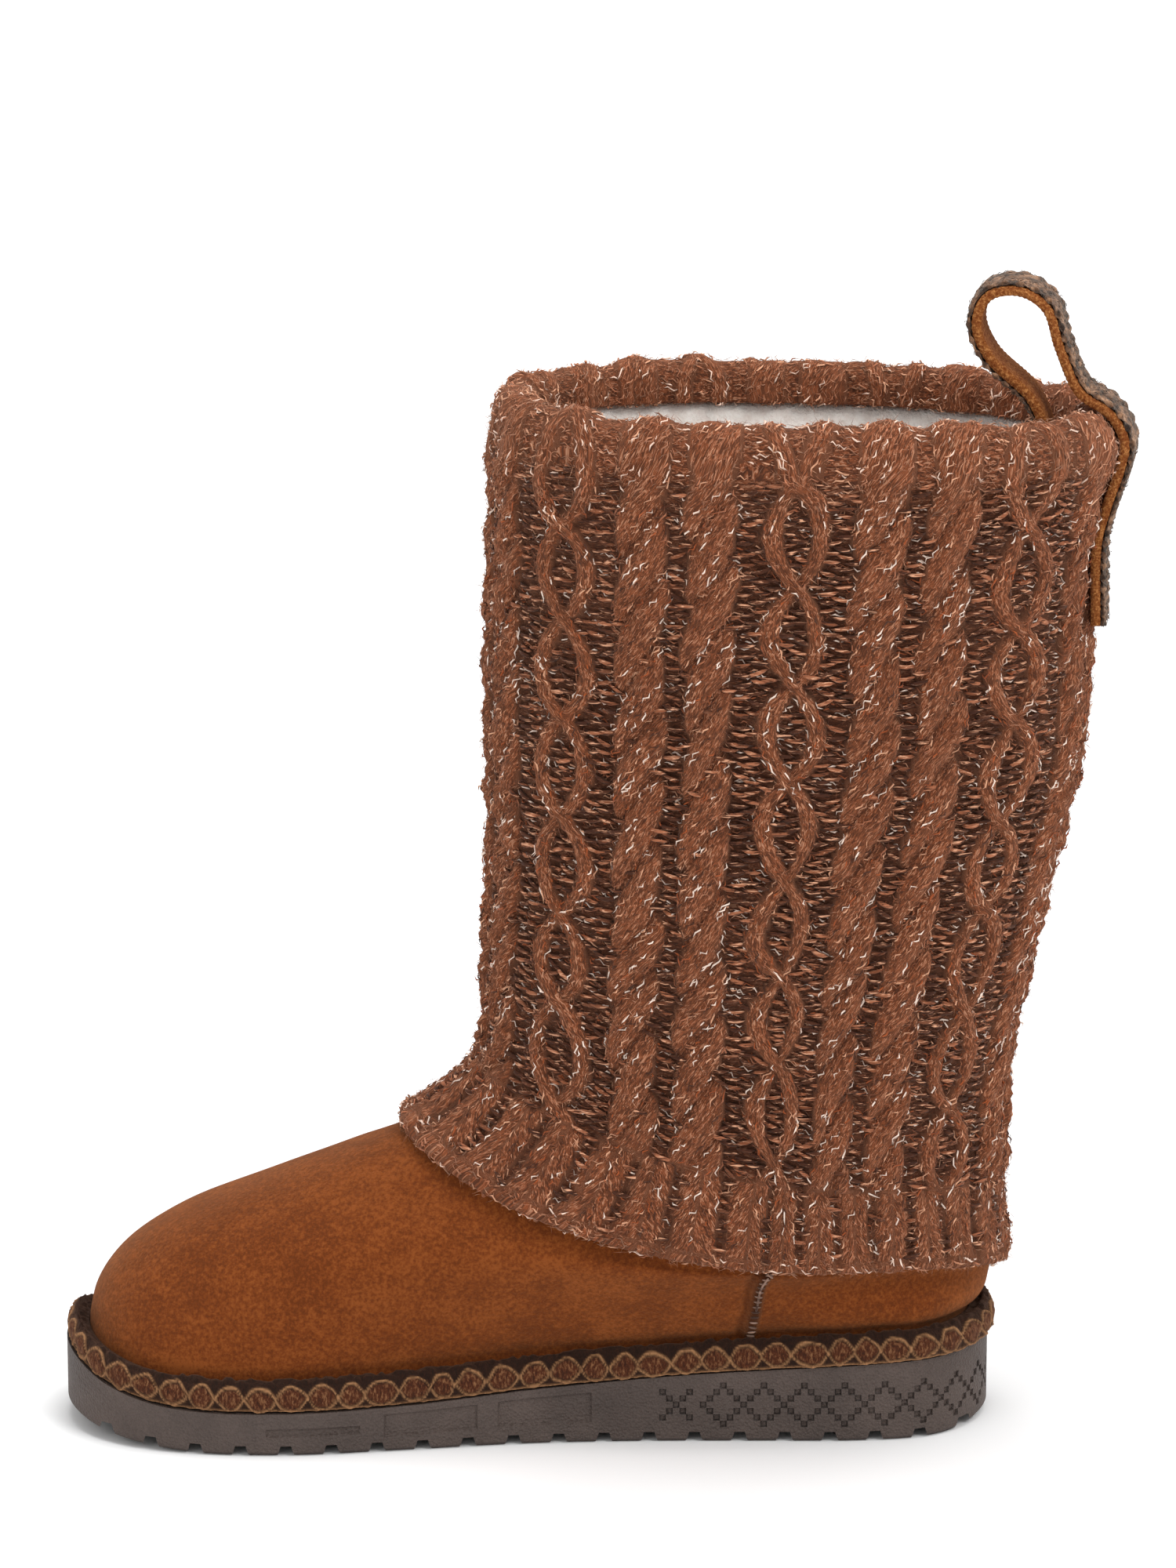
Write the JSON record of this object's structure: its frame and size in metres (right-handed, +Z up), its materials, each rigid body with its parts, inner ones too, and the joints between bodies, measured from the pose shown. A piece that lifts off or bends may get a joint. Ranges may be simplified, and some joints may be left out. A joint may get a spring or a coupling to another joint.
{
  "type": "boot",
  "caption": "Mid-calf slipper boot for a right foot: suede-cloth foot, cable-knit sleeve over the shaft, woven rand, wedge outsole and pull loop at the back.",
  "frame": {"origin": "On the ground under the middle of the heel, on a lug of the outsole, where the boot rests.", "axes": "Toe towards -X, heel towards +X, inner side of the right foot towards -Y, +Z up."},
  "size_m": [0.3111, 0.1101, 0.3363],
  "materials": {
    "outsole": "moulded, warm dark grey, fine pebble grain",
    "lining": "cream pile",
    "suede": "orange-brown suede cloth with a short nap",
    "rand": "woven band, rust and tan on dark brown",
    "knit": "fuzzy marled yarn, reddish brown with cream and orange flecks",
    "webbing": "woven band, beige on dark brown"
  },
  "bodies": {
    "root": {"outsole": "outsole", "insole": "lining", "upper": "suede", "rand": "rand", "knit_sleeve": "knit", "pull_loop_backing": "suede", "pull_loop_webbing": "webbing"}
  },
  "joints": []
}
